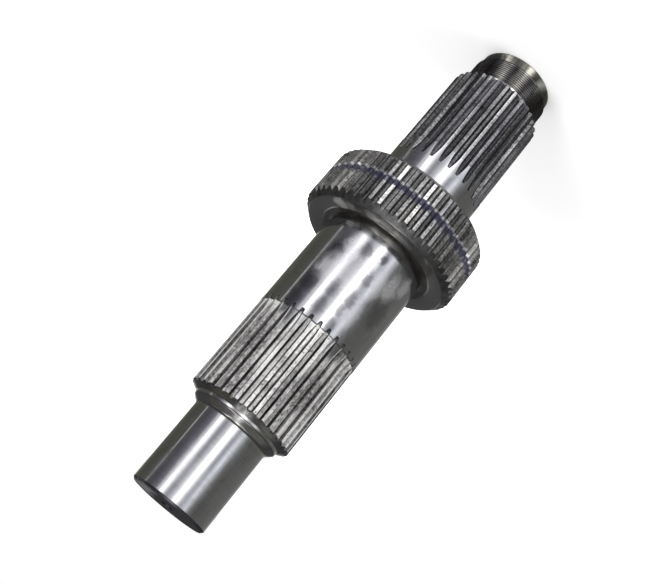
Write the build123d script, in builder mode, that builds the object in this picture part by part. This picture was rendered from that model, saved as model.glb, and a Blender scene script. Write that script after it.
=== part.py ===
from build123d import *
from math import acos, cos, degrees, pi, radians, sin, sqrt, tan
import os

# Splined transmission shaft, turned, hobbed and ground from one steel bar.
# It stands on its threaded end: Z runs along the shaft and Z = 0 is the threaded end's face.
# From the bottom: pilot and thread, 31-tooth spline, ground band, 54-tooth coupling collar,
# ground seat, 34-tooth spline, cone shoulder, ground journal. All lengths are in millimetres.

# Threaded end, M55 x 1.5; the cylinder is at the thread's crests
thread_radius = 27.5
thread_length = 13.7
pilot_radius = 26.0
pilot_length = 6.2
pilot_chamfer = 0.4
relief_depth = 1.2
relief_length = 5.2

# Tooth form shared by both splines and the collar: involute, 30 degree pressure angle
tooth_module = 2.0
pressure_angle = 30.0
tip_allowance = 0.2
root_allowance = 1.1
hob_radius = 38.0
cutter_overrun = 1.5

# Spline beside the thread, 65 x 2 x 31; the ground band beyond it has the spline's full size
small_spline_size = 65.0
small_spline_length = 61.4
spline_end_chamfer = 0.5
small_runout_reach = 12.0

# Ground band between that spline and the collar, with the lead taper at each ground edge
ground_edge_length = 0.8
band_length = 34.0
band_corner = 1.5

# Coupling collar, 110 x 2 x 54, teeth cut right through
collar_size = 110.0
collar_width = 40.0
collar_chamfer = 4.4

# Recess turned into the collar's face round the seat, with a grinding undercut on the shaft
recess_radius = 39.8
recess_depth = 2.4
undercut_depth = 0.45
undercut_rise = 2.4
undercut_ramp = 1.0

# Spline beyond the seat, 70 x 2 x 34; the ground seat has the spline's full size
seat_length = 69.9
large_spline_size = 70.0
large_spline_length = 61.1
large_runout_reach = 3.7

# 45 degree cone down from that spline, hollow fillet, and the ground end journal
shoulder_radius = 29.2
journal_radius = 25.0
journal_length = 52.3
journal_chamfer = 1.3
journal_fillet = 6.0

# 60 degree centre holes in both end faces, in which the shaft turns for grinding
centre_mouth_radius = 4.25
centre_drill_radius = 2.0
centre_drill_depth = 8.0
centre_angle = 60.0

# The metric spline series gives a size one tooth less than it holds modules
small_spline_teeth = int(small_spline_size / tooth_module) - 1
large_spline_teeth = int(large_spline_size / tooth_module) - 1
collar_teeth = int(collar_size / tooth_module) - 1

# Ground surfaces, and the tip and root circles of each set of teeth
band_radius = small_spline_size / 2
seat_radius = large_spline_size / 2
small_tip_radius = small_spline_size / 2 - tip_allowance * tooth_module / 2
small_root_radius = small_spline_size / 2 - root_allowance * tooth_module
large_tip_radius = large_spline_size / 2 - tip_allowance * tooth_module / 2
large_root_radius = large_spline_size / 2 - root_allowance * tooth_module
collar_tip_radius = collar_size / 2 - tip_allowance * tooth_module / 2
collar_root_radius = collar_size / 2 - root_allowance * tooth_module

# Heights of the steps, added up from the threaded end
thread_start = pilot_length + thread_radius - pilot_radius
thread_end = thread_start + thread_length
relief_radius = thread_radius - relief_depth
small_spline_start = thread_end + relief_length
band_start = small_spline_start + small_spline_length
collar_start = band_start + band_length
collar_end = collar_start + collar_width
undercut_radius = seat_radius - undercut_depth
undercut_end = collar_end + undercut_rise
seat_end = collar_end + seat_length
cone_start = seat_end + large_spline_length
cone_end = cone_start + large_tip_radius - shoulder_radius
fillet_angle = degrees(acos(1 - (shoulder_radius - journal_radius) / journal_fillet))
journal_start = cone_end + journal_fillet * sin(radians(fillet_angle))
shaft_length = journal_start + journal_length


def involute(angle):
    return tan(angle) - angle


def space_half_angle(teeth, size, radius):
    # Half of one tooth space, as an angle at the shaft's axis, on the circle of this radius
    pitch_radius = tooth_module * teeth / 2
    base_radius = pitch_radius * cos(radians(pressure_angle))
    profile_shift = (size - tooth_module * teeth - root_allowance * tooth_module) / 2
    tooth_width = pi * tooth_module / 2 + 2 * profile_shift * tan(radians(pressure_angle))
    tooth_half = tooth_width / (2 * pitch_radius) + involute(radians(pressure_angle))
    return pi / teeth - tooth_half + involute(acos(base_radius / radius))


def tooth_space(teeth, size, root_radius, tip_radius):
    # One space at -Y, its flanks straight between points of the involute at root and tip
    outer_radius = tip_radius + tip_allowance * tooth_module
    corners = []
    for radius, side in ((root_radius, -1), (outer_radius, -1), (outer_radius, 1), (root_radius, 1)):
        half_angle = side * space_half_angle(teeth, size, radius)
        corners.append((radius * sin(half_angle), -radius * cos(half_angle)))
    with BuildSketch() as space:
        with BuildLine():
            Polyline(*corners, close=True)
        make_face()
    return space.sketch


def runout_length(root_radius, tip_radius):
    # Distance along the shaft from full depth to where the round hob leaves the tips
    return sqrt(2 * hob_radius * (tip_radius - root_radius) - (tip_radius - root_radius) ** 2)


def runout_angle(root_radius, tip_radius):
    # Turn about the hob's axis that lifts the cut clear of the tips
    return degrees(acos(1 - (tip_radius - root_radius + tip_allowance * tooth_module) / hob_radius))


# Tool body for one space of the spline beside the thread, running out towards the collar
small_space_shape = tooth_space(
    small_spline_teeth, small_spline_size, small_root_radius, small_tip_radius
)
small_full_depth_end = band_start + small_runout_reach - runout_length(small_root_radius, band_radius)
with BuildPart() as small_space:
    with BuildSketch(Plane.XY.offset(small_full_depth_end)) as small_space_profile:
        add(small_space_shape)
    extrude(amount=small_spline_start - cutter_overrun - small_full_depth_end)
    revolve(
        small_space_profile.sketch,
        axis=Axis((0, -small_root_radius - hob_radius, small_full_depth_end), (1, 0, 0)),
        revolution_arc=runout_angle(small_root_radius, band_radius),
    )

# Tool body for one space of the spline beyond the seat, running out towards the collar
large_space_shape = tooth_space(
    large_spline_teeth, large_spline_size, large_root_radius, large_tip_radius
)
large_full_depth_start = seat_end - large_runout_reach + runout_length(large_root_radius, seat_radius)
with BuildPart() as large_space:
    with BuildSketch(Plane.XY.offset(large_full_depth_start)) as large_space_profile:
        add(large_space_shape)
    extrude(amount=cone_end - large_full_depth_start)
    revolve(
        large_space_profile.sketch,
        axis=Axis((0, -large_root_radius - hob_radius, large_full_depth_start), (-1, 0, 0)),
        revolution_arc=runout_angle(large_root_radius, seat_radius),
    )

# Tool body for one space of the collar, half a pitch round so that a tooth stands at -Y
collar_space_shape = tooth_space(collar_teeth, collar_size, collar_root_radius, collar_tip_radius)
with BuildPart() as collar_space:
    with BuildSketch(Plane.XY.offset(collar_start - cutter_overrun)) as collar_space_profile:
        add(collar_space_shape)
    extrude(amount=collar_width + 2 * cutter_overrun)

# Centre drill, point upwards, mouth at Z = 0
centre_cone_depth = (centre_mouth_radius - centre_drill_radius) / tan(radians(centre_angle / 2))
with BuildPart() as centre_drill:
    with BuildSketch(Plane.XZ):
        with BuildLine():
            Polyline(
                (0, 0),
                (centre_mouth_radius, 0),
                (centre_drill_radius, centre_cone_depth),
                (centre_drill_radius, centre_drill_depth),
                (0, centre_drill_depth + centre_drill_radius * tan(radians(90 - centre_angle))),
                close=True,
            )
        make_face()
    revolve(axis=Axis.Z)

with BuildPart() as splined_shaft:
    # Turned blank: half section of the shaft, radius across and height up
    with BuildSketch(Plane.XZ) as blank_section:
        with BuildLine():
            to_cone = Polyline(
                (0, 0),
                (pilot_radius - pilot_chamfer, 0),
                (pilot_radius, pilot_chamfer),
                (pilot_radius, pilot_length),
                (thread_radius, thread_start),
                (thread_radius, thread_end),
                (relief_radius, thread_end + relief_depth),
                (relief_radius, small_spline_start),
                (small_tip_radius - spline_end_chamfer, small_spline_start),
                (small_tip_radius, small_spline_start + spline_end_chamfer),
                (small_tip_radius, band_start),
                (band_radius, band_start + ground_edge_length),
                (band_radius, collar_start - band_corner),
                (band_radius + band_corner, collar_start),
                (collar_tip_radius - collar_chamfer, collar_start),
                (collar_tip_radius, collar_start + collar_chamfer),
                (collar_tip_radius, collar_end - collar_chamfer),
                (collar_tip_radius - collar_chamfer, collar_end),
                (recess_radius, collar_end),
                (recess_radius, collar_end - recess_depth),
                (undercut_radius, collar_end - recess_depth),
                (undercut_radius, undercut_end),
                (seat_radius, undercut_end + undercut_ramp),
                (seat_radius, seat_end - ground_edge_length),
                (large_tip_radius, seat_end),
                (large_tip_radius, cone_start),
                (shoulder_radius, cone_end),
            )
            to_journal = CenterArc(
                (journal_radius + journal_fillet, journal_start),
                journal_fillet,
                180 + fillet_angle,
                -fillet_angle,
            )
            Polyline(
                to_journal @ 1,
                (journal_radius, shaft_length - journal_chamfer),
                (journal_radius - journal_chamfer, shaft_length),
                (0, shaft_length),
                to_cone @ 0,
            )
        make_face()
    revolve(axis=Axis.Z)

    # Hobbed teeth, one space at a time round the shaft
    with PolarLocations(0, small_spline_teeth):
        add(small_space.part, mode=Mode.SUBTRACT)
    with PolarLocations(0, large_spline_teeth):
        add(large_space.part, mode=Mode.SUBTRACT)
    with PolarLocations(0, collar_teeth, start_angle=180 / collar_teeth):
        add(collar_space.part, mode=Mode.SUBTRACT)

    # A centre hole in each end
    with Locations(Location((0, 0, 0)), Location((0, 0, shaft_length), (180, 0, 0))):
        add(centre_drill.part, mode=Mode.SUBTRACT)

os.makedirs("parts", exist_ok=True)
splined_shaft.part.label = "splined_shaft"
export_step(splined_shaft.part, "parts/splined_shaft.step")
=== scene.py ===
import math
import bpy
import bmesh
from mathutils import Matrix, Vector


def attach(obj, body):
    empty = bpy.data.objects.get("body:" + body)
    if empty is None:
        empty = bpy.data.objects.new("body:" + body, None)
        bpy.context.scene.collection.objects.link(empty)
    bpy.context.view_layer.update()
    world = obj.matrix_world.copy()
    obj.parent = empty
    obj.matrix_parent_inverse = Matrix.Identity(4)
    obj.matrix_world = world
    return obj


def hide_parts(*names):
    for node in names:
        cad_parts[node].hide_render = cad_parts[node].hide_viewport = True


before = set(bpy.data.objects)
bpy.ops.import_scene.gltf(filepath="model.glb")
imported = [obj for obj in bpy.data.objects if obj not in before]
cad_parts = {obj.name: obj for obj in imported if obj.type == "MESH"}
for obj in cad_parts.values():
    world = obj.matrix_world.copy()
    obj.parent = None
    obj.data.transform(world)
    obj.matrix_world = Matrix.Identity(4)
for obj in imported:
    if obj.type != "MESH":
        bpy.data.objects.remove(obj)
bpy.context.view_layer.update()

# The shaft stands on its threaded end. Its sizes are millimetres here, and metres once the mesh is made;
# the floor, tent, camera and lamps are placed in metres.
mm = 0.001
segments = 240  # points in a turned ring
edgeRound = 0.25  # how much a turned edge is broken
frontTurn = 2.5  # degrees from -Y round to the side that faces the camera

# the shaft's mesh: one ring of points after another along its surface, and a finish for every face
points = []
faces = []
faceFinish = []


def addRing(polar, z):
    # polar is a list of (angle, radius) going round once; a ring keeps each point's number and angle
    ring = []
    for angle, radius in polar:
        ring.append((len(points), angle))
        points.append((radius * math.cos(angle), radius * math.sin(angle), z))
    return ring


def roundRing(radius, z):
    return addRing([(-math.pi / 2 + 2 * math.pi * k / segments, radius) for k in range(segments)], z)


def addFace(corners, finish):
    faces.append(corners)
    faceFinish.append(finish)


def joinSame(lower, upper, finish):
    # quads between two rings of the same layout; finish is a name or a list, one for each column of faces
    count = len(lower)
    for k in range(count):
        after = (k + 1) % count
        corners = (lower[k][0], lower[after][0], upper[after][0], upper[k][0])
        addFace(corners, finish if isinstance(finish, str) else finish[k])
    return upper


def angleAt(ring, number):
    # a point's angle, a full turn more once the number has gone round
    return ring[number % len(ring)][1] + (2 * math.pi if number >= len(ring) else 0)


def joinAny(lower, upper, finish):
    # triangles between two rings whose points stand at different angles
    a = b = 0
    while a < len(lower) or b < len(upper):
        here = (lower[a % len(lower)][0], upper[b % len(upper)][0])
        if b >= len(upper) or (a < len(lower) and angleAt(lower, a + 1) <= angleAt(upper, b + 1)):
            a += 1
            addFace((here[0], lower[a % len(lower)][0], here[1]), finish)
        else:
            b += 1
            addFace((here[0], upper[b % len(upper)][0], here[1]), finish)
    return upper


def turnAlong(ring, profile, finish):
    # carries a round ring through the (radius, z) places of a turned profile
    for radius, z in profile:
        ring = joinSame(ring, roundRing(radius, z), finish)
    return ring


def arcProfile(centre, radius, startAngle, endAngle, count):
    # places on an arc in the half section, angles in degrees from the radial direction
    places = []
    for k in range(count + 1):
        angle = math.radians(startAngle + (endAngle - startAngle) * k / count)
        places.append((centre[0] + radius * math.cos(angle), centre[1] + radius * math.sin(angle)))
    return places


# what the three sets of teeth share: the hob that cuts them, how it runs out, and the points of their rings
hob = {
    "module": 2.0,
    "pressureAngle": 30.0,
    "tipAllowance": 0.2,
    "rootAllowance": 1.1,
    "rootRound": 0.45,
    "overCut": 0.7,  # how far its flank reaches past the tooth's tip
    "flankSteps": 4,
    "landShares": (0.2, 0.6),  # where the points between two spaces stand on the land
    "radius": 38.0,
    "runoutRings": 24,
    "runoutCrowding": 1.5,
    "groundEdge": 0.8,  # length of the step from the tips to the ground diameter
    "clearance": 0.3,  # plain length past the end of the run-out
    "rimGap": 0.02,  # keeps the first ring of teeth just outside the root circle
}


def involute(angle):
    return math.tan(angle) - angle


def makeTeeth(part):
    # tip and root circles, number of teeth, and half the profile of the tool that cuts a space
    module = hob["module"]
    count = int(part["size"] / module) - 1
    tip = part["size"] / 2 - hob["tipAllowance"] * module / 2
    root = part["size"] / 2 - hob["rootAllowance"] * module
    pressure = math.radians(hob["pressureAngle"])
    pitchRadius = module * count / 2
    shift = (part["size"] - module * count - hob["rootAllowance"] * module) / 2
    thickness = math.pi * module / 2 + 2 * shift * math.tan(pressure)
    toothHalf = thickness / (2 * pitchRadius) + involute(pressure)

    def spaceHalf(radius):
        pressureHere = math.acos(pitchRadius * math.cos(pressure) / radius)
        half = math.pi / count - toothHalf + involute(pressureHere)
        return radius * math.sin(half), radius * math.cos(half) - root

    steps = hob["flankSteps"]
    flank = [spaceHalf(root + (tip + hob["overCut"] - root) * k / steps) for k in range(steps + 1)]
    # round the corner between the flat root and the flank
    corner = flank[0]
    run = (flank[1][0] - corner[0], flank[1][1] - corner[1])
    runLength = math.hypot(*run)
    turn = math.atan2(run[1], run[0])
    rootRound = hob["rootRound"]
    tangent = rootRound * math.tan(turn / 2)
    centre = (corner[0] - tangent, rootRound + corner[1])
    tool = [(0.0, corner[1]), (corner[0] - tangent, corner[1])]
    for share in (1 / 3, 2 / 3):
        across = centre[0] + rootRound * math.sin(turn * share)
        tool.append((across, centre[1] - rootRound * math.cos(turn * share)))
    tool.append((corner[0] + run[0] / runLength * tangent, corner[1] + run[1] / runLength * tangent))
    tool += flank[1:]
    return {"count": count, "tip": tip, "root": root, "tool": tool, "turnShare": part["turnShare"]}


def toothRing(teeth, z, blank, lift=0.0):
    # one ring through every land and space; blank is the turned radius, and lift how far the tool is out
    half = math.pi / teeth["count"]
    place = []
    for x, y in teeth["tool"]:
        out = teeth["root"] + lift + y
        place.append((math.atan2(x, out), math.hypot(x, out)))
    edge = (0.0, blank)
    for (angleA, radiusA), (angleB, radiusB) in zip(place, place[1:]):
        if radiusA < blank <= radiusB:
            share = (blank - radiusA) / (radiusB - radiusA)
            edge = (angleA + (angleB - angleA) * share, blank)
            break
    space = [spot if spot[1] < blank and spot[0] <= edge[0] else edge for spot in place]
    land = [(edge[0] + (half - edge[0]) * share, blank) for share in hob["landShares"]]
    rising = space + land
    polar = []
    for k in range(teeth["count"]):
        centre = -math.pi / 2 + 2 * half * (k + teeth["turnShare"])
        polar.append((centre - half, blank))
        polar += [(centre - angle, radius) for angle, radius in reversed(rising[1:])]
        polar += [(centre + angle, radius) for angle, radius in rising]
    return addRing(polar, z)


def toothFinish(teeth, bottomName, flankName, landName, bottomColumns=3):
    # the finish of each column of faces in toothRing, in the same order
    landColumns = len(hob["landShares"]) + 1
    flankColumns = len(teeth["tool"]) - 1 - bottomColumns
    side = [landName] * landColumns + [flankName] * flankColumns + [bottomName] * bottomColumns
    return (side + side[::-1]) * teeth["count"]


def hobLift(rise):
    # how far the hob has left its full depth after travelling rise along the shaft
    return hob["radius"] - math.sqrt(hob["radius"] ** 2 - rise**2)


def hobRunout(teeth, fullDepth, blank, towards):
    # (z, lift) pairs from full depth to where the hob leaves the surface, closer together at the end
    flatHalf = teeth["tool"][1][0]
    lastLift = math.sqrt(blank**2 - flatHalf**2) - teeth["root"]
    lastAngle = math.acos(1 - lastLift / hob["radius"])
    stations = []
    for k in range(hob["runoutRings"] + 1):
        angle = lastAngle * (1 - (1 - k / hob["runoutRings"]) ** hob["runoutCrowding"])
        rise = hob["radius"] * math.sin(angle)
        stations.append((fullDepth + towards * rise, hob["radius"] * (1 - math.cos(angle))))
    return stations


def runoutLength(teeth, blank):
    depth = blank - teeth["root"]
    return math.sqrt(2 * hob["radius"] * depth - depth**2)


def stepBetween(z, low, high, lowRadius, highRadius):
    # turned radius where a taper from low to high joins two cylinders
    share = min(1.0, max(0.0, (z - low) / (high - low)))
    return lowRadius + (highRadius - lowRadius) * share


# the small centre hole that both ends have: radii, depth and the angles of its cone and point
centreHole = {
    "mouth": 4.25,
    "drill": 2.0,
    "depth": 8.0,
    "angle": 60.0,
    "pointSlope": 30.0,
    "pointRadius": 0.02,
}


def centreHolePlaces(z, towards, outward):
    # half section of the centre hole, from its point to its mouth or the other way
    coneDepth = (centreHole["mouth"] - centreHole["drill"]) / math.tan(math.radians(centreHole["angle"] / 2))
    pointDepth = centreHole["depth"] + centreHole["drill"] * math.tan(math.radians(centreHole["pointSlope"]))
    places = [
        (centreHole["pointRadius"], z + towards * pointDepth),
        (centreHole["drill"], z + towards * centreHole["depth"]),
        (centreHole["drill"], z + towards * coneDepth),
        (centreHole["mouth"], z),
    ]
    return places if outward else places[::-1]


def closeEnd(ring, z, facingUp):
    # a tiny fan that closes the drill's point
    tipPoint = len(points)
    points.append((0.0, 0.0, z))
    for k in range(len(ring)):
        after = (k + 1) % len(ring)
        pair = (ring[k][0], ring[after][0]) if facingUp else (ring[after][0], ring[k][0])
        addFace((pair[0], pair[1], tipPoint), "turned")


pilot = {"radius": 26.0, "chamfer": 0.4, "top": 6.2}
thread = {
    "crestRadius": 27.5,
    "pitch": 1.5,
    "depth": 0.92,
    "top": 21.4,
    # share of the pitch at which crest, flanks and root begin, and how deep each is
    "steps": ((0.0, 0.0), (0.125, 0.0), (0.4375, 1.0), (0.5625, 1.05), (0.6875, 1.0)),
    "reliefRadius": 26.3,
    "reliefFillet": 0.8,
}


def cutThread(ring):
    # a helical grid: a row climbs one pitch in a turn, so its last column meets the row one turn of steps up;
    # heights are held between the pilot and the relief, which makes the last row the relief's flat circle
    steps = thread["steps"]
    low = pilot["top"]
    high = thread["top"] + thread["crestRadius"] - thread["reliefRadius"]
    leadTop = low + thread["crestRadius"] - pilot["radius"]
    turns = math.ceil((high - low) / thread["pitch"]) + 2
    rows = []
    for turn in range(-1, turns):
        for share, depth in steps:
            row = []
            for column in range(segments):
                z = low + thread["pitch"] * (turn + share + column / segments - 0.5)
                z = min(high, max(low, z))
                cutRadius = thread["crestRadius"] - thread["depth"] * depth
                leadRadius = pilot["radius"] + min(z, leadTop) - low
                reliefRadius = thread["crestRadius"] - max(0.0, z - thread["top"])
                radius = min(cutRadius, leadRadius, reliefRadius)
                angle = -math.pi / 2 + 2 * math.pi * column / segments
                row.append((len(points), angle))
                points.append((radius * math.cos(angle), radius * math.sin(angle), z))
            rows.append(row)
    joinSame(ring, rows[0], "threaded")
    last = len(rows) - 1
    for i in range(last):
        for column in range(segments):
            after = (column + 1) % segments
            climb = len(steps) if after == 0 else 0
            nextLow = rows[min(i + climb, last)][after][0]
            nextHigh = rows[min(i + 1 + climb, last)][after][0]
            addFace((rows[i][column][0], nextLow, nextHigh, rows[i + 1][column][0]), "threaded")
    return rows[last]


print("shaft: threaded end")
places = centreHolePlaces(0.0, 1, True)
ring = roundRing(*places[0])
closeEnd(ring, places[0][1], False)
ring = turnAlong(ring, places[1:], "turned")
ring = turnAlong(ring, [(pilot["radius"] - pilot["chamfer"], 0.0)], "endFace")
ring = turnAlong(ring, [(pilot["radius"], pilot["chamfer"]), (pilot["radius"], pilot["top"])], "pilot")
ring = cutThread(ring)

print("shaft: spline beside the thread")
smallSpline = {"size": 65.0, "start": 26.6, "end": 88.0, "reach": 12.0, "endChamfer": 0.5, "turnShare": 0.0}
smallTeeth = makeTeeth(smallSpline)
bandRadius = smallSpline["size"] / 2
fillet = thread["reliefFillet"]
filletCentre = (thread["reliefRadius"] + fillet, smallSpline["start"] - fillet)
ring = turnAlong(ring, arcProfile(filletCentre, fillet, 180, 90, 4), "turned")
# the flat end, out to where every space opens through the chamfer
rimRadius = smallTeeth["tip"] - smallSpline["endChamfer"]
ring = joinAny(ring, toothRing(smallTeeth, smallSpline["start"], rimRadius), "turned")
taperTop = smallSpline["end"] + hob["groundEdge"]
fullDepth = smallSpline["end"] + smallSpline["reach"] - runoutLength(smallTeeth, bandRadius)
runout = hobRunout(smallTeeth, fullDepth, bandRadius, 1)
stations = [(smallSpline["start"] + smallSpline["endChamfer"], 0.0)] + runout
stations += [(z, hobLift(z - fullDepth)) for z in (smallSpline["end"], taperTop)]
splineFinish = toothFinish(smallTeeth, "groove", "flank", "land")
bandFinish = toothFinish(smallTeeth, "groove", "flank", "ground")
for z, lift in sorted(stations):
    blank = stepBetween(z, smallSpline["end"], taperTop, smallTeeth["tip"], bandRadius)
    nextRing = toothRing(smallTeeth, z, blank, lift)
    ring = joinSame(ring, nextRing, bandFinish if z > taperTop else splineFinish)
ring = joinAny(ring, roundRing(bandRadius, runout[-1][0] + hob["clearance"]), "ground")

print("shaft: collar")
collar = {
    "size": 110.0,
    "start": 122.0,
    "end": 162.0,
    "turnShare": 0.5,  # turned by half a tooth
    "chamfer": 4.4,
    "chamferShares": (0.35, 0.7, 1.0),  # shares of the teeth's depth at which a chamfer's rings stand
    "bandCorner": 1.5,
    "recessRadius": 39.8,
    "recessDepth": 2.4,
    # how far out from the recess and how far down the collar's upper face is, from its flat part inwards
    "rollOver": ((8.2, 0.0), (6.4, 0.05), (4.8, 0.13), (3.2, 0.24), (1.6, 0.37), (0.5, 0.47), (0.0, 0.70)),
    # how far from the recess's wall and how far above its floor the corner's points are
    "recessCorner": ((0.0, 0.7), (0.2, 0.2), (0.7, 0.0)),
    "undercutRadius": 34.55,
    "undercutTop": 164.4,
}
collarTeeth = makeTeeth(collar)
corner = collar["bandCorner"]
cornerCentre = (bandRadius + corner, collar["start"] - corner)
ring = turnAlong(ring, arcProfile(cornerCentre, corner, 180, 90, 5), "ground")
faceRadius = collarTeeth["tip"] - collar["chamfer"]
edgeDrop = 1.4 * edgeRound
lowerEdge = [(faceRadius - edgeRound, collar["start"]), (faceRadius + edgeRound, collar["start"] + edgeDrop)]
ring = turnAlong(ring, lowerEdge, "turned")
teethFinish = toothFinish(collarTeeth, "collarGroove", "collarGroove", "collarLand")
# the collar's chamfers take the bevel finish, darkened as painted shade
chamferFinish = toothFinish(collarTeeth, "collarGroove", "collarGroove", "bevel")
rootRise = collarTeeth["root"] - faceRadius
rimRadius = collarTeeth["root"] + hob["rimGap"]
rimRing = toothRing(collarTeeth, collar["start"] + rootRise + hob["rimGap"], rimRadius)
ring = joinAny(ring, rimRing, "bevel")
toothDepth = collarTeeth["tip"] - collarTeeth["root"]
blanks = [collarTeeth["root"] + toothDepth * share for share in collar["chamferShares"]]
for blank in blanks:
    nextRing = toothRing(collarTeeth, collar["start"] + blank - faceRadius, blank)
    ring = joinSame(ring, nextRing, chamferFinish)
for blank in reversed(blanks):
    nextRing = toothRing(collarTeeth, collar["end"] - blank + faceRadius, blank)
    ring = joinSame(ring, nextRing, teethFinish if blank == blanks[-1] else chamferFinish)
rimRing = toothRing(collarTeeth, collar["end"] - rootRise - hob["rimGap"], rimRadius)
ring = joinSame(ring, rimRing, chamferFinish)
ring = joinAny(ring, roundRing(faceRadius + edgeRound, collar["end"] - edgeDrop), "bevel")
ring = turnAlong(ring, [(faceRadius - edgeRound, collar["end"])], "turned")
# the face rounds over softly into the recess, which runs in to the undercut below the seat
recessRadius = collar["recessRadius"]
undercutRadius = collar["undercutRadius"]
recessFloor = collar["end"] - collar["recessDepth"]
rollOver = [(recessRadius + across, collar["end"] - down) for across, down in collar["rollOver"]]
ring = turnAlong(ring, rollOver, "ringFace")
recess = [(recessRadius - across, recessFloor + up) for across, up in collar["recessCorner"]]
recess += [(undercutRadius + across, recessFloor + up) for across, up in reversed(collar["recessCorner"])]
recess.append((undercutRadius, collar["undercutTop"]))
ring = turnAlong(ring, recess, "turned")

print("shaft: seat and the spline beyond it")
# the ramp up from the undercut, and how far in and how far up from its top the seat's broken edge stands
seat = {"rampLength": 1.0, "rampEdge": ((0.1, -0.25), (0.0, 0.15))}
largeSpline = {
    "size": 70.0,
    "start": 231.9,
    "end": 293.0,
    "reach": 3.7,
    "turnShare": 0.0,
    "darkRings": 3,  # rings at the tips of the run-outs that stay dark
}
largeTeeth = makeTeeth(largeSpline)
seatRadius = largeSpline["size"] / 2
rampTop = collar["undercutTop"] + seat["rampLength"]
ring = turnAlong(ring, [(seatRadius - inward, rampTop + up) for inward, up in seat["rampEdge"]], "shoulder")
fullDepth = largeSpline["start"] - largeSpline["reach"] + runoutLength(largeTeeth, seatRadius)
runout = hobRunout(largeTeeth, fullDepth, seatRadius, -1)
ring = turnAlong(ring, [(seatRadius, runout[-1][0] - hob["clearance"])], "ground")
taperLow = largeSpline["start"] - hob["groundEdge"]
stations = runout + [(z, hobLift(fullDepth - z)) for z in (taperLow, largeSpline["start"])]
stations.append((largeSpline["end"], 0.0))
tipFinish = toothFinish(largeTeeth, "wornFlank", "wornFlank", "ground", 1)
seatFinish = toothFinish(largeTeeth, "ground", "wornFlank", "ground", 1)
edgeFinish = toothFinish(largeTeeth, "wornGroove", "wornFlank", "land", 4)
wornFinish = toothFinish(largeTeeth, "wornGroove", "wornFlank", "wornLand", 4)
for number, (z, lift) in enumerate(sorted(stations)):
    blank = stepBetween(z, taperLow, largeSpline["start"], seatRadius, largeTeeth["tip"])
    nextRing = toothRing(largeTeeth, z, blank, lift)
    if number == 0:
        ring = joinAny(ring, nextRing, "ground")
    elif z <= taperLow:
        ring = joinSame(ring, nextRing, tipFinish if number <= largeSpline["darkRings"] else seatFinish)
    else:
        ring = joinSame(ring, nextRing, edgeFinish if z <= largeSpline["start"] else wornFinish)

print("shaft: shoulder and journal")
# a steep cone takes the teeth's ends down to a narrow band, and a hollow leads on to the journal
shoulder = {
    "radius": 29.2,
    "coneLength": 3.1,
    "coneShares": (0.65, 0.3, 0.01),  # shares of the teeth's depth at which the cone's rings stand
    "bandLength": 1.4,
    "bandRound": 1.6,
    "slopeAngle": 50.0,
    "hollowRadius": 3.2,
}
journal = {"radius": 25.0, "chamfer": 1.3, "top": 356.6236}
coneFinish = toothFinish(largeTeeth, "wornFlank", "wornFlank", "turned", 4)
coneSlope = shoulder["coneLength"] / (largeTeeth["tip"] - shoulder["radius"])
coneEnd = largeSpline["end"] + shoulder["coneLength"]
for share in shoulder["coneShares"]:
    blank = largeTeeth["root"] + (largeTeeth["tip"] - largeTeeth["root"]) * share
    nextRing = toothRing(largeTeeth, largeSpline["end"] + (largeTeeth["tip"] - blank) * coneSlope, blank)
    ring = joinSame(ring, nextRing, coneFinish)
nextRing = roundRing(shoulder["radius"] + 2 * edgeRound, coneEnd - 2 * edgeRound * coneSlope)
ring = joinAny(ring, nextRing, "turned")
bandEdge = [(shoulder["radius"] + 0.3 * edgeRound, coneEnd - 0.2 * edgeRound)]
bandEdge.append((shoulder["radius"], coneEnd + edgeRound))
ring = turnAlong(ring, bandEdge, "shoulder")
# over the band's rounded edge, down the slope and round the hollow
slopeAngle = shoulder["slopeAngle"]
slope = math.radians(slopeAngle)
bandRound = shoulder["bandRound"]
bandEnd = coneEnd + shoulder["bandLength"]
bandCentre = (shoulder["radius"] - bandRound, bandEnd)
ring = turnAlong(ring, arcProfile(bandCentre, bandRound, 0, slopeAngle, 6), "shoulder")
hollowRadius = shoulder["hollowRadius"]
slopeTop = (shoulder["radius"] - bandRound * (1 - math.cos(slope)), bandEnd + bandRound * math.sin(slope))
slopeFoot = journal["radius"] + hollowRadius * (1 - math.cos(slope))
slopeLength = (slopeTop[0] - slopeFoot) / math.tan(slope)
journalStart = slopeTop[1] + slopeLength + hollowRadius * math.sin(slope)
hollowCentre = (journal["radius"] + hollowRadius, journalStart)
ring = turnAlong(ring, arcProfile(hollowCentre, hollowRadius, 180 + slopeAngle, 180, 10), "shoulder")
ring = turnAlong(ring, [(journal["radius"], journal["top"] - journal["chamfer"])], "ground")
ring = turnAlong(ring, [(journal["radius"] - journal["chamfer"], journal["top"])], "endFace")
places = centreHolePlaces(journal["top"], -1, False)
ring = turnAlong(ring, places[:1], "endFace")
# the centre hole's cone and drill take the dark groove finish: painted shade inside the hole
ring = turnAlong(ring, places[1:], "groove")
closeEnd(ring, places[-1][1], True)

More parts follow.
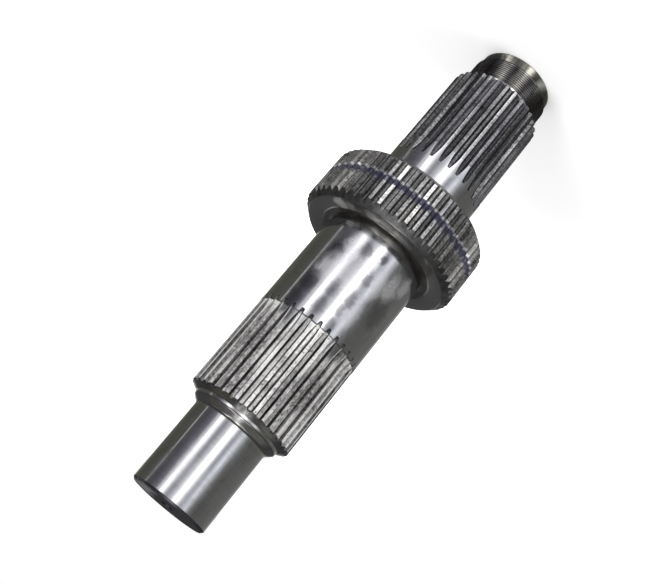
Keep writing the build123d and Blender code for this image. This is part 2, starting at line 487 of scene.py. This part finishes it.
# finishes: two tones of metal, how rough, how fine the tool marks round and along the shaft, and the stains
finishes = {
    "ground": {
        "dark": (0.56, 0.56, 0.57), "light": (0.76, 0.76, 0.77), "rough": (0.065, 0.14),
        "lines": (9.0, 2600.0), "lineDepth": 0.08, "stain": (0.16, 0.145, 0.135), "stainShare": 0.22,
    },
    "turned": {
        "dark": (0.32, 0.31, 0.295), "light": (0.66, 0.65, 0.62), "rough": (0.12, 0.24),
        "lines": (7.0, 1500.0), "lineDepth": 0.22, "stain": (0.06, 0.055, 0.045), "stainShare": 0.45,
    },
    # the shoulder's finish is a lighter copy of the turned one: painted highlight on the seat's ramp, the
    # band, the slope and the hollow
    "shoulder": {
        "dark": (0.56, 0.55, 0.52), "light": (0.84, 0.83, 0.79), "rough": (0.10, 0.22),
        "lines": (7.0, 1500.0), "lineDepth": 0.14, "stain": (0.06, 0.055, 0.045), "stainShare": 0.4,
    },
    "ringFace": {
        "dark": (0.56, 0.55, 0.52), "light": (0.80, 0.785, 0.75), "rough": (0.15, 0.28),
        "lines": (9.0, 1500.0), "lineDepth": 0.10, "stain": (0.05, 0.045, 0.035), "stainShare": 0.3,
    },
    # the chamfers' dark tone is painted shade
    "bevel": {
        "dark": (0.12, 0.118, 0.112), "light": (0.42, 0.41, 0.395), "rough": (0.36, 0.52),
        "lines": (12.0, 1500.0), "lineDepth": 0.12, "stain": (0.03, 0.028, 0.024), "stainShare": 0.4,
    },
    "groove": {
        "dark": (0.028, 0.028, 0.030), "light": (0.13, 0.13, 0.135), "rough": (0.20, 0.38),
        "lines": (60.0, 900.0), "lineDepth": 0.14, "stain": (0.02, 0.018, 0.018), "stainShare": 0.6,
    },
    "flank": {
        "dark": (0.05, 0.05, 0.052), "light": (0.26, 0.26, 0.265), "rough": (0.18, 0.34),
        "lines": (60.0, 900.0), "lineDepth": 0.14, "stain": (0.02, 0.018, 0.018), "stainShare": 0.6,
    },
    "land": {
        "dark": (0.16, 0.157, 0.16), "light": (0.60, 0.59, 0.59), "rough": (0.10, 0.22),
        "lines": (9.0, 1900.0), "lineDepth": 0.10, "stain": (0.07, 0.065, 0.065), "stainShare": 0.5,
    },
    "wornGroove": {
        "dark": (0.34, 0.33, 0.315), "light": (0.93, 0.92, 0.89), "rough": (0.18, 0.34),
        "lines": (60.0, 900.0), "lineDepth": 0.16, "stain": (0.045, 0.04, 0.042), "stainShare": 0.85,
    },
    "wornFlank": {
        "dark": (0.030, 0.028, 0.028), "light": (0.22, 0.214, 0.212), "rough": (0.22, 0.38),
        "lines": (60.0, 900.0), "lineDepth": 0.14, "stain": (0.02, 0.018, 0.018), "stainShare": 0.6,
    },
    "wornLand": {
        "dark": (0.62, 0.61, 0.59), "light": (0.99, 0.985, 0.965), "rough": (0.14, 0.30),
        "lines": (12.0, 1500.0), "lineDepth": 0.14, "stain": (0.06, 0.052, 0.052), "stainShare": 0.75,
    },
    "pilot": {
        "dark": (0.05, 0.047, 0.042), "light": (0.34, 0.33, 0.28), "rough": (0.10, 0.20),
        "lines": (9.0, 1800.0), "lineDepth": 0.10, "stain": (0.02, 0.018, 0.018), "stainShare": 0.75,
    },
    "threaded": {
        "dark": (0.075, 0.07, 0.075), "light": (0.42, 0.41, 0.385), "rough": (0.10, 0.22),
        "lines": (20.0, 900.0), "lineDepth": 0.10, "stain": (0.02, 0.018, 0.022), "stainShare": 0.7,
    },
    "collarGroove": {
        "dark": (0.032, 0.031, 0.030), "light": (0.24, 0.235, 0.225), "rough": (0.20, 0.38),
        "lines": (60.0, 900.0), "lineDepth": 0.14, "stain": (0.015, 0.013, 0.011), "stainShare": 0.6,
    },
    "collarLand": {
        "dark": (0.19, 0.187, 0.182), "light": (0.80, 0.79, 0.77), "rough": (0.09, 0.22),
        "lines": (9.0, 1700.0), "lineDepth": 0.12, "stain": (0.05, 0.045, 0.035), "stainShare": 0.55,
    },
    "endFace": {
        "dark": (0.15, 0.148, 0.158), "light": (0.32, 0.312, 0.345), "rough": (0.20, 0.34),
        "lines": (9.0, 9.0), "lineDepth": 0.10, "stain": (0.05, 0.048, 0.058), "stainShare": 0.5,
    },
}
finishNames = list(finishes)

print("shaft: mesh")
# in millimetres how near points are joined and how short an edge is dropped, and how steep a crease is
meshCare = {"mergeDistance": 0.002, "shortest": 0.001, "creaseDegrees": 32}
mesh = bpy.data.meshes.new("splinedShaftMesh")
mesh.from_pydata([(x * mm, y * mm, z * mm) for x, y, z in points], [], faces)
for polygon, name in zip(mesh.polygons, faceFinish):
    polygon.material_index = finishNames.index(name)
    polygon.use_smooth = True

# join points that the thread's and grooves' ends bring together, and crease where two finishes meet
shape = bmesh.new()
shape.from_mesh(mesh)
bmesh.ops.remove_doubles(shape, verts=shape.verts, dist=meshCare["mergeDistance"] * mm)
bmesh.ops.dissolve_degenerate(shape, edges=shape.edges, dist=meshCare["shortest"] * mm)
loose = [vertex for vertex in shape.verts if not vertex.link_faces]
bmesh.ops.delete(shape, geom=loose, context="VERTS")
creaseAngle = math.radians(meshCare["creaseDegrees"])
for edge in shape.edges:
    if len(edge.link_faces) == 2:
        first, second = edge.link_faces
        steep = edge.calc_face_angle(0.0) > creaseAngle
        edge.smooth = not (steep or first.material_index != second.material_index)
openEdges = sum(1 for edge in shape.edges if len(edge.link_faces) != 2)
triangles = sum(len(face.verts) - 2 for face in shape.faces)
shape.to_mesh(mesh)
shape.free()
print("shaft mesh:", len(mesh.vertices), "points,", triangles, "triangles,", openEdges, "open edges")

shaft = bpy.data.objects.new("splinedShaftBody", mesh)
bpy.context.scene.collection.objects.link(shaft)

# which finishes share a trait
turnedNames = ("ground", "turned", "endFace")
wornNames = ("wornGroove", "wornLand")
pittedNames = ("land", "collarLand", "wornGroove", "wornLand")
hobbedNames = ("groove", "flank", "land", "wornGroove", "wornFlank", "wornLand", "collarGroove", "collarLand")
# how fine each pattern in the metal is, as its repeats in a metre, and how much each one tells
pattern = {
    "cloud": 48.0,
    "grain": 900.0,
    "coarseGrain": 620.0,
    "stain": 26.0,
    "pits": 760.0,
    "mottle": 430.0,
    "streaks": (230.0, 230.0, 14.0),
    "wipes": (60.0, 60.0, 26.0),
    "wipeTurn": (0.3, 0.5, 0.2),
    "cloudShare": 0.35,
    "turnedStreaks": 0.12,
    "otherStreaks": 0.5,
    "streaksAndLines": 0.65,
    "coarseShare": 0.7,
    "grainHeight": 0.35,
    "bumpDistance": 0.00003,
}
# pale spots: wiped film on the seat, painted highlights on the collar's face, paler patches on the upper end
paleSpotColour = (0.76, 0.76, 0.78, 1.0)
smudgeColour = (0.11, 0.105, 0.12, 1.0)
mottleColour = (0.055, 0.048, 0.052, 1.0)
bareColour = (0.50, 0.495, 0.49, 1.0)
# the blue ring drawn round the collar's teeth, heights in metres, and a painted highlight: a bright line
# beside it
marker = {
    "colour": (0.010, 0.011, 0.050, 1.0),
    "middle": 0.1410,
    "half": 0.0025,
    "waver": 0.0012,
    "highlightColour": (0.85, 0.85, 0.87, 1.0),
    "highlightMiddle": 0.1379,
    "highlightHalf": 0.0011,
    "highlightShare": 0.38,
}
# dark smudges on the seat: degrees round from the front, height and size in millimetres, and strength
seatSmudges = (
    (10.9, 175.1, 3.2, 0.75),
    (-8.0, 178.0, 4.6, 0.55),
    (11.2, 191.0, 4.6, 0.55),
    (10.0, 207.7, 4.8, 0.60),
    (8.6, 216.0, 4.0, 0.55),
    (9.7, 226.6, 4.2, 0.55),
    (-32.6, 187.0, 7.0, 0.60),
    (-33.5, 211.6, 7.5, 0.60),
    (-34.0, 225.0, 7.0, 0.55),
    (-9.2, 208.0, 5.0, 0.45),
    (-9.7, 221.0, 5.0, 0.45),
    (44.0, 200.0, 9.0, 0.40),
    (160.0, 185.0, 9.0, 0.45),
    (120.0, 215.0, 11.0, 0.40),
    (-120.0, 205.0, 10.0, 0.45),
)
# where pale spots lie, in the same terms: a wiped film left on the seat, painted highlights on the collar's
# face and paler patches on one side of the upper end
seatFilm = (
    (-28.0, 197.0, 9.0, 0.75),
    (-24.0, 180.0, 6.0, 0.50),
    (-6.0, 197.0, 9.0, 0.60),
    (-10.0, 187.0, 7.0, 0.55),
    (3.0, 182.0, 7.0, 0.60),
    (22.0, 189.0, 8.0, 0.50),
    (18.0, 214.0, 8.0, 0.45),
    (36.0, 184.0, 8.0, 0.50),
    (50.0, 176.0, 6.0, 0.40),
    (150.0, 200.0, 12.0, 0.45),
    (-100.0, 180.0, 9.0, 0.40),
)
# painted highlights: pale glints on the collar's face
faceHighlights = (
    (-50.0, 162.0, 7.5, 0.40),
    (-40.0, 162.0, 5.0, 0.20),
    (-20.0, 162.0, 6.5, 0.28),
    (-7.0, 162.0, 6.5, 0.30),
    (7.0, 162.0, 6.0, 0.18),
    (150.0, 162.0, 9.0, 0.25),
)
# paler patches on one side of the upper end's face
endPalePatches = (
    (-58.0, 356.6, 9.5, 0.42),
    (-90.0, 356.6, 10.5, 0.50),
    (-120.0, 356.6, 9.5, 0.42),
)
# where the spline beyond the seat is mottled dark, and where its pale skin is rubbed bare
wornMottle = (
    (-40.0, 258.0, 17.0, 0.80),
    (-27.0, 284.0, 13.0, 0.75),
    (-20.0, 246.0, 9.0, 0.55),
    (17.0, 272.0, 12.0, 0.65),
    (33.0, 262.0, 12.0, 0.75),
    (28.0, 286.0, 9.0, 0.6),
    (0.0, 262.0, 6.0, 0.5),
    (100.0, 270.0, 15.0, 0.65),
    (165.0, 255.0, 16.0, 0.65),
    (-115.0, 275.0, 16.0, 0.65),
)
wornBare = (
    (-22.0, 232.0, 9.5, 0.95),
    (-36.0, 231.0, 6.0, 0.80),
    (31.0, 232.0, 9.0, 0.95),
    (44.0, 231.0, 6.0, 0.70),
    (120.0, 232.0, 10.0, 0.90),
    (-140.0, 232.0, 11.0, 0.90),
)
# where the spline beside the thread is mottled dark
landMottle = (
    (-52.0, 52.0, 20.0, 0.65),
    (-38.0, 36.0, 14.0, 0.60),
    (-34.0, 66.0, 14.0, 0.50),
    (-62.0, 82.0, 12.0, 0.50),
    (34.0, 46.0, 13.0, 0.60),
    (46.0, 66.0, 15.0, 0.55),
    (58.0, 84.0, 14.0, 0.50),
    (120.0, 60.0, 18.0, 0.60),
    (-150.0, 50.0, 18.0, 0.60),
)
# the finishes that carry pale spots and those that carry mottling, each with its spots and the radius they
# lie at
paleSpotted = {"ground": (seatFilm, seatRadius), "ringFace": (faceHighlights, 44.5), "endFace": (endPalePatches, 17.5)}
mottled = {
    "land": (landMottle, bandRadius),
    "wornGroove": (wornMottle, seatRadius),
    "wornLand": (wornMottle, seatRadius),
}


def addNode(tree, kind, inputs=None, **settings):
    # a node with its settings; inputs maps a socket's name or number to a value or to another socket
    node = tree.nodes.new(kind)
    for name, value in settings.items():
        setattr(node, name, value)
    for name, value in (inputs or {}).items():
        if isinstance(value, bpy.types.NodeSocket):
            tree.links.new(value, node.inputs[name])
        else:
            node.inputs[name].default_value = value
    return node


def emptyMaterial(name):
    material = bpy.data.materials.new(name)
    material.use_nodes = True
    material.node_tree.nodes.clear()
    return material


def noiseNode(tree, place, scale, detail=3.0, roughness=0.55, distortion=0.0):
    inputs = {"Vector": place, "Scale": scale, "Detail": detail, "Roughness": roughness}
    inputs["Distortion"] = distortion
    return addNode(tree, "ShaderNodeTexNoise", inputs)


def noiseAt(tree, place, scale, detail=3.0, roughness=0.55, distortion=0.0):
    return noiseNode(tree, place, scale, detail, roughness, distortion).outputs["Fac"]


def stretchPlace(tree, place, scale, turn=(0.0, 0.0, 0.0)):
    return addNode(tree, "ShaderNodeMapping", {"Vector": place, "Rotation": turn, "Scale": scale}).outputs[0]


def mixColour(tree, share, first, second):
    return addNode(tree, "ShaderNodeMix", {0: share, 6: first, 7: second}, data_type="RGBA").outputs[2]


def mapRange(tree, value, fromLow, fromHigh, toLow, toHigh, smooth=False):
    inputs = {"Value": value, "From Min": fromLow, "From Max": fromHigh, "To Min": toLow, "To Max": toHigh}
    kind = "SMOOTHSTEP" if smooth else "LINEAR"
    return addNode(tree, "ShaderNodeMapRange", inputs, interpolation_type=kind).outputs["Result"]


def doMath(tree, operation, first, second=0.0):
    return addNode(tree, "ShaderNodeMath", {0: first, 1: second}, operation=operation).outputs[0]


def addShare(tree, value, extra, share):
    # value plus a share of extra
    return doMath(tree, "ADD", value, doMath(tree, "MULTIPLY", extra, share))


def vectorMath(tree, operation, first, second=(0.0, 0.0, 0.0), result="Vector"):
    node = addNode(tree, "ShaderNodeVectorMath", {0: first, 1: second}, operation=operation)
    return node.outputs[result]


def markerShare(tree, place):
    # the hand-drawn ring wavers a little and is thin in places; the painted highlight line runs beside it
    wholeHeight = addNode(tree, "ShaderNodeSeparateXYZ", {"Vector": place}).outputs["Z"]
    swing = mapRange(tree, noiseAt(tree, place, 22.0, 2.0), 0.3, 0.7, -marker["waver"], marker["waver"])
    height = doMath(tree, "ADD", wholeHeight, swing)
    away = doMath(tree, "ABSOLUTE", doMath(tree, "SUBTRACT", height, marker["middle"]))
    band = mapRange(tree, away, marker["half"] * 0.72, marker["half"] * 1.15, 0.96, 0.0, True)
    thin = mapRange(tree, noiseAt(tree, place, 420.0, 4.0), 0.36, 0.50, 0.6, 1.0, True)
    # the bright line beside the ring is a painted highlight
    highlightAway = doMath(tree, "ABSOLUTE", doMath(tree, "SUBTRACT", height, marker["highlightMiddle"]))
    highlightNear, highlightFar = marker["highlightHalf"] * 0.6, marker["highlightHalf"] * 1.2
    edge = mapRange(tree, highlightAway, highlightNear, highlightFar, marker["highlightShare"], 0.0, True)
    return doMath(tree, "MULTIPLY", band, thin), edge


def spotShare(tree, place, spots, radius):
    # soft spots with broken outlines, longer along the shaft than round it
    reach = 0.008  # how far the outlines wander, in metres
    squat = (1.0, 1.0, 0.6)
    broken = noiseNode(tree, place, 190.0, 5.0, 0.65).outputs["Color"]
    shift = vectorMath(tree, "MULTIPLY", vectorMath(tree, "SUBTRACT", broken, (0.5, 0.5, 0.5)), (reach,) * 3)
    moved = vectorMath(tree, "MULTIPLY", vectorMath(tree, "ADD", place, shift), squat)
    total = 0.0
    for degrees, height, size, strength in spots:
        angle = math.radians(270 + frontTurn - degrees)
        spot = (radius * mm * math.cos(angle), radius * mm * math.sin(angle), height * mm * squat[2])
        away = vectorMath(tree, "DISTANCE", moved, spot, "Value")
        share = mapRange(tree, away, size * mm * 0.35, size * mm, strength, 0.0, True)
        total = share if total == 0.0 else doMath(tree, "MAXIMUM", total, share)
    return total


def metalFinish(name, finish):
    material = emptyMaterial(name + "Steel")
    tree = material.node_tree
    place = addNode(tree, "ShaderNodeTexCoord").outputs["Object"]
    around, along = finish["lines"]
    lines = noiseAt(tree, stretchPlace(tree, place, (around, around, along)), 1.0, 4.0, 0.7)
    cloud = noiseAt(tree, place, pattern["cloud"], 5.0, 0.62, 0.6)
    grain = noiseAt(tree, place, pattern["grain"], 3.0, 0.6)
    # long streaks make one tooth or groove a little brighter than the next
    streaks = noiseAt(tree, stretchPlace(tree, place, pattern["streaks"]), 1.0, 3.0, 0.6)
    streakShare = pattern["turnedStreaks"] if name in turnedNames else pattern["otherStreaks"]
    toneShare = doMath(tree, "MULTIPLY", cloud, pattern["cloudShare"])
    toneShare = addShare(tree, toneShare, streaks, streakShare)
    toneShare = addShare(tree, toneShare, lines, pattern["streaksAndLines"] - streakShare)
    if name in hobbedNames:
        # the hob leaves a coarse grain
        coarse = doMath(tree, "SUBTRACT", noiseAt(tree, place, pattern["coarseGrain"], 4.0, 0.7), 0.5)
        toneShare = addShare(tree, toneShare, coarse, pattern["coarseShare"])
    tone = mapRange(tree, toneShare, 0.36, 0.62, 0.0, 1.0)
    colour = mixColour(tree, tone, (*finish["dark"], 1.0), (*finish["light"], 1.0))
    # oil and handling stains gather in soft patches with broken edges
    patch = noiseAt(tree, place, pattern["stain"], 6.0, 0.68, 1.2)
    stain = mapRange(tree, patch, 0.56, 0.72, 0.0, finish["stainShare"], True)
    stainColour = (*finish["stain"], 1.0)
    colour = mixColour(tree, stain, colour, stainColour)
    # fine dark pits stand closer together where the surface is stained
    pitLow, pitShare = (0.50, 0.75) if name in pittedNames else (0.60, 0.35)
    pits = noiseAt(tree, place, pattern["pits"], 4.0, 0.7)
    pitEdge = mapRange(tree, patch, 0.40, 0.62, 0.66, pitLow)
    speck = mapRange(tree, doMath(tree, "SUBTRACT", pits, pitEdge), 0.0, 0.05, 0.0, pitShare, True)
    colour = mixColour(tree, speck, colour, stainColour)
    roughLow, roughHigh = finish["rough"]
    rough = mapRange(tree, toneShare, 0.3, 0.7, roughHigh, roughLow)
    rough = addShare(tree, rough, stain, 0.22)
    metallic = 1.0
    # pale spots make the metal partly matt: wiped film on the seat, painted highlights on the collar's face,
    # paler patches on the upper end
    if name in paleSpotted:
        paleSpots = spotShare(tree, place, *paleSpotted[name])
        colour = mixColour(tree, paleSpots, colour, paleSpotColour)
        metallic = mapRange(tree, paleSpots, 0.0, 1.0, 1.0, 0.45)
    if name == "ground":
        smudge = spotShare(tree, place, seatSmudges, seatRadius)
        colour = mixColour(tree, smudge, colour, smudgeColour)
        # wiping leaves hazy strokes over the bare metal
        wiped = stretchPlace(tree, place, pattern["wipes"], pattern["wipeTurn"])
        haze = mapRange(tree, noiseAt(tree, wiped, 1.0, 4.0, 0.6, 0.8), 0.46, 0.60, 0.0, 0.11, True)
        rough = doMath(tree, "ADD", rough, haze)
        rough = addShare(tree, rough, paleSpots, 0.14)
    if name in mottled:
        # the dark patches break up into mottling
        broken = noiseAt(tree, place, pattern["mottle"], 5.0, 0.75)
        mottle = mapRange(tree, broken, 0.38, 0.58, 0.15, 1.0, True)
        mottle = doMath(tree, "MULTIPLY", spotShare(tree, place, *mottled[name]), mottle)
        colour = mixColour(tree, mottle, colour, mottleColour)
    if name in wornNames:
        # a pale matt skin over the metal, rubbed bare in places
        bare = spotShare(tree, place, wornBare, seatRadius)
        colour = mixColour(tree, bare, colour, bareColour)
        metallic = mapRange(tree, bare, 0.0, 1.0, 0.3, 1.0)
        rough = addShare(tree, rough, bare, -0.12)
    if name.startswith("collar"):
        ink, edge = markerShare(tree, place)
        ink = doMath(tree, "MULTIPLY", ink, 1.0 if name == "collarLand" else 0.8)
        # lay the painted highlight line beside the ring
        colour = mixColour(tree, edge, colour, marker["highlightColour"])
        colour = mixColour(tree, ink, colour, marker["colour"])
        rough = addShare(tree, rough, ink, 0.12)
        metallic = mapRange(tree, ink, 0.0, 1.0, 0.90, 0.1)
    height = addShare(tree, lines, grain, pattern["grainHeight"])
    bumpInputs = {"Height": height, "Strength": finish["lineDepth"], "Distance": pattern["bumpDistance"]}
    bump = addNode(tree, "ShaderNodeBump", bumpInputs).outputs[0]
    surfaceInputs = {"Base Color": colour, "Metallic": metallic, "Roughness": rough, "Normal": bump}
    surface = addNode(tree, "ShaderNodeBsdfPrincipled", surfaceInputs)
    addNode(tree, "ShaderNodeOutputMaterial", {"Surface": surface.outputs[0]})
    return material


print("finishes")
for finishName in finishNames:
    shaft.data.materials.append(metalFinish(finishName, finishes[finishName]))
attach(shaft, "root")
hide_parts("splined_shaft")

print("camera, floor and lamps")
# where the shaft is looked at from, in metres and degrees; the lens and its sensor are in millimetres
view = {
    "lens": 56.015,
    "sensorWidth": 36.0,
    "clipStart": 0.02,
    "distance": 0.5744,
    "height": 0.4087,
    "pitch": 19.865,
    "roll": -140.290,
    "yaw": -0.815,
}
cameraData = bpy.data.cameras.new("shaftCamera")
cameraData.lens = view["lens"]
cameraData.sensor_width = view["sensorWidth"]
cameraData.clip_start = view["clipStart"]
camera = bpy.data.objects.new("shaftCamera", cameraData)
bpy.context.scene.collection.objects.link(camera)
camera.matrix_world = (
    Matrix.Rotation(math.radians(frontTurn), 4, "Z")
    @ Matrix.Translation((0.0, -view["distance"], view["height"]))
    @ Matrix.Rotation(math.radians(view["yaw"]), 4, "Z")
    @ Matrix.Rotation(math.radians(90 - view["pitch"]), 4, "X")
    @ Matrix.Rotation(math.radians(view["roll"]), 4, "Z")
)
bpy.context.scene.camera = camera


def seenDirectly(tree):
    # 1 where the camera or a metal reflection looks, 0 for the light that falls on things
    path = addNode(tree, "ShaderNodeLightPath").outputs
    looks = doMath(tree, "ADD", path["Is Camera Ray"], path["Is Glossy Ray"])
    looks = doMath(tree, "ADD", looks, path["Is Transmission Ray"])
    return doMath(tree, "MINIMUM", looks, 1.0)


# the floor glows just enough to read as white, and away from the shaft it fades into the white room
floorLook = {"half": 3.0, "colour": (0.80, 0.80, 0.80, 1.0), "glow": 0.26, "fade": (0.10, 0.42)}
white = (1.0, 1.0, 1.0, 1.0)
half = floorLook["half"]
floorMesh = bpy.data.meshes.new("floor")
floorCorners = [(-half, -half, 0), (half, -half, 0), (half, half, 0), (-half, half, 0)]
floorMesh.from_pydata(floorCorners, [], [(0, 1, 2, 3)])
floor = bpy.data.objects.new("floor", floorMesh)
bpy.context.scene.collection.objects.link(floor)
paleFloor = emptyMaterial("paleFloor")
tree = paleFloor.node_tree
matt = addNode(tree, "ShaderNodeBsdfDiffuse", {"Color": floorLook["colour"]})
floorPlace = addNode(tree, "ShaderNodeTexCoord").outputs["Object"]
fromShaft = vectorMath(tree, "LENGTH", floorPlace, result="Value")
glowStrength = mapRange(tree, fromShaft, *floorLook["fade"], floorLook["glow"], 1.0, True)
glowStrength = doMath(tree, "MULTIPLY", seenDirectly(tree), glowStrength)
glow = addNode(tree, "ShaderNodeEmission", {"Color": white, "Strength": glowStrength})
both = addNode(tree, "ShaderNodeAddShader", {0: matt.outputs[0], 1: glow.outputs[0]})
addNode(tree, "ShaderNodeOutputMaterial", {"Surface": both.outputs[0]})
floorMesh.materials.append(paleFloor)

# a tent of pale and dark panels that only the metal reflects; it stands on a disc just above the floor
tentLook = {
    "sides": 120,
    # radius and height of each ring: out from the shaft's foot, up the wall and in over the roof
    "rings": ((0.0265, 0.0003), (0.12, 0.0003), (0.8, 0.0003), (0.8, 1.5), (0.05, 1.7)),
    # heights at which the panels fade into a dark gap, and the gap into a roof that shows them more dimly
    "gapHeights": (0.30, 0.40),
    "gapColour": (0.056, 0.055, 0.060, 1.0),
    "roofHeights": (0.85, 1.25),
    "roofShare": 0.70,
    # degrees round from the camera's side, and the colour that the tent shows there
    "panels": (
        (-180, (0.26, 0.26, 0.25)),
        (-164, (0.80, 0.80, 0.79)),
        (-154, (0.12, 0.12, 0.10)),
        (-120, (0.085, 0.085, 0.070)),
        (-91, (0.10, 0.10, 0.095)),
        (-89, (0.85, 0.84, 0.82)),
        (-87, (0.10, 0.095, 0.10)),
        (-70, (0.095, 0.09, 0.105)),
        (-58, (0.16, 0.155, 0.18)),
        (-51, (0.26, 0.26, 0.29)),
        (-46, (0.80, 0.80, 0.86)),
        (-42, (0.66, 0.66, 0.70)),
        (-39, (2.10, 2.10, 2.16)),
        (-35, (2.10, 2.10, 2.16)),
        (-30, (1.35, 1.35, 1.40)),
        (-24, (0.52, 0.52, 0.56)),
        (-18, (0.32, 0.32, 0.36)),
        (-4, (0.85, 0.86, 0.90)),
        (0, (1.50, 1.51, 1.55)),
        (4, (3.20, 3.20, 3.22)),
        (9, (3.20, 3.20, 3.22)),
        (13, (1.65, 1.66, 1.70)),
        (18, (0.72, 0.72, 0.76)),
        (24, (0.36, 0.37, 0.41)),
        (31, (0.70, 0.72, 0.79)),
        (37, (1.12, 1.14, 1.22)),
        (43, (0.62, 0.63, 0.67)),
        (52, (0.20, 0.205, 0.205)),
        (66, (0.115, 0.115, 0.11)),
        (140, (0.17, 0.172, 0.165)),
        (160, (0.60, 0.60, 0.60)),
    ),
}
tentPoints = []
tentFaces = []
sides = tentLook["sides"]
for ringRadius, ringHeight in tentLook["rings"]:
    for k in range(sides):
        angle = 2 * math.pi * k / sides
        tentPoints.append((ringRadius * math.cos(angle), ringRadius * math.sin(angle), ringHeight))
for low in range(0, sides * (len(tentLook["rings"]) - 1), sides):
    for k in range(sides):
        after = (k + 1) % sides
        tentFaces.append((low + k, low + after, low + sides + after, low + sides + k))
tentMesh = bpy.data.meshes.new("tent")
tentMesh.from_pydata(tentPoints, [], tentFaces)
tent = bpy.data.objects.new("tent", tentMesh)
bpy.context.scene.collection.objects.link(tent)
tent.visible_camera = False
tent.visible_diffuse = False
tent.visible_shadow = False
tent.visible_transmission = False
tentPanels = emptyMaterial("tentPanels")
tree = tentPanels.node_tree
tentPlace = addNode(tree, "ShaderNodeTexCoord").outputs["Object"]
# the gradient goes once round the tent, turned so that its middle faces the camera
facing = stretchPlace(tree, tentPlace, (1.0, 1.0, 1.0), (0.0, 0.0, math.radians(90 - frontTurn)))
gradient = addNode(tree, "ShaderNodeTexGradient", {"Vector": facing}, gradient_type="RADIAL")
ramp = addNode(tree, "ShaderNodeValToRGB", {"Fac": gradient.outputs["Fac"]})
stops = ramp.color_ramp.elements
while len(stops) > 1:
    stops.remove(stops[-1])
stops[0].position = 0.0
# the gradient runs against the panels' degrees, so they are laid from last to first
for number, (degrees, panelColour) in enumerate(reversed(tentLook["panels"])):
    stop = stops[0] if number == 0 else stops.new((180 - degrees) / 360)
    stop.color = (*panelColour, 1.0)
tentHeight = addNode(tree, "ShaderNodeSeparateXYZ", {"Vector": tentPlace}).outputs["Z"]
aboveShare = mapRange(tree, tentHeight, *tentLook["gapHeights"], 0.0, 1.0, True)
roofShare = mapRange(tree, tentHeight, *tentLook["roofHeights"], 0.0, 1.0, True)
roofShare = doMath(tree, "MULTIPLY", roofShare, tentLook["roofShare"])
aboveColour = mixColour(tree, roofShare, tentLook["gapColour"], ramp.outputs["Color"])
tentColour = mixColour(tree, aboveShare, ramp.outputs["Color"], aboveColour)
shine = addNode(tree, "ShaderNodeEmission", {"Color": tentColour, "Strength": 1.0})
addNode(tree, "ShaderNodeOutputMaterial", {"Surface": shine.outputs[0]})
tentMesh.materials.append(tentPanels)

# a plain white room, dimmer as a light than it looks
roomGlow = 0.55
world = bpy.data.worlds.new("room")
bpy.context.scene.world = world
world.use_nodes = True
tree = world.node_tree
tree.nodes.clear()
roomStrength = mapRange(tree, seenDirectly(tree), 0.0, 1.0, roomGlow, 1.0)
room = addNode(tree, "ShaderNodeBackground", {"Color": white, "Strength": roomStrength})
addNode(tree, "ShaderNodeOutputWorld", {"Surface": room.outputs[0]})

# three soft lamps aimed at the middle of the shaft: place and power
lamps = {
    "aim": (0.0, 0.0, 0.15),
    "size": 0.9,
    "places": (((0.9, -0.9, 1.5), 15.0), ((-1.1, -0.5, 1.2), 9.0), ((0.2, 1.3, 1.4), 8.0)),
}
for number, (lampPlace, power) in enumerate(lamps["places"]):
    lampData = bpy.data.lights.new("softLamp" + str(number + 1), "AREA")
    lampData.shape = "DISK"
    lampData.size = lamps["size"]
    lampData.energy = power
    lamp = bpy.data.objects.new(lampData.name, lampData)
    lamp.location = lampPlace
    lamp.rotation_euler = (Vector(lamps["aim"]) - Vector(lampPlace)).to_track_quat("-Z", "Y").to_euler()
    lamp.visible_glossy = False
    bpy.context.scene.collection.objects.link(lamp)

bpy.context.scene.view_settings.view_transform = "Standard"
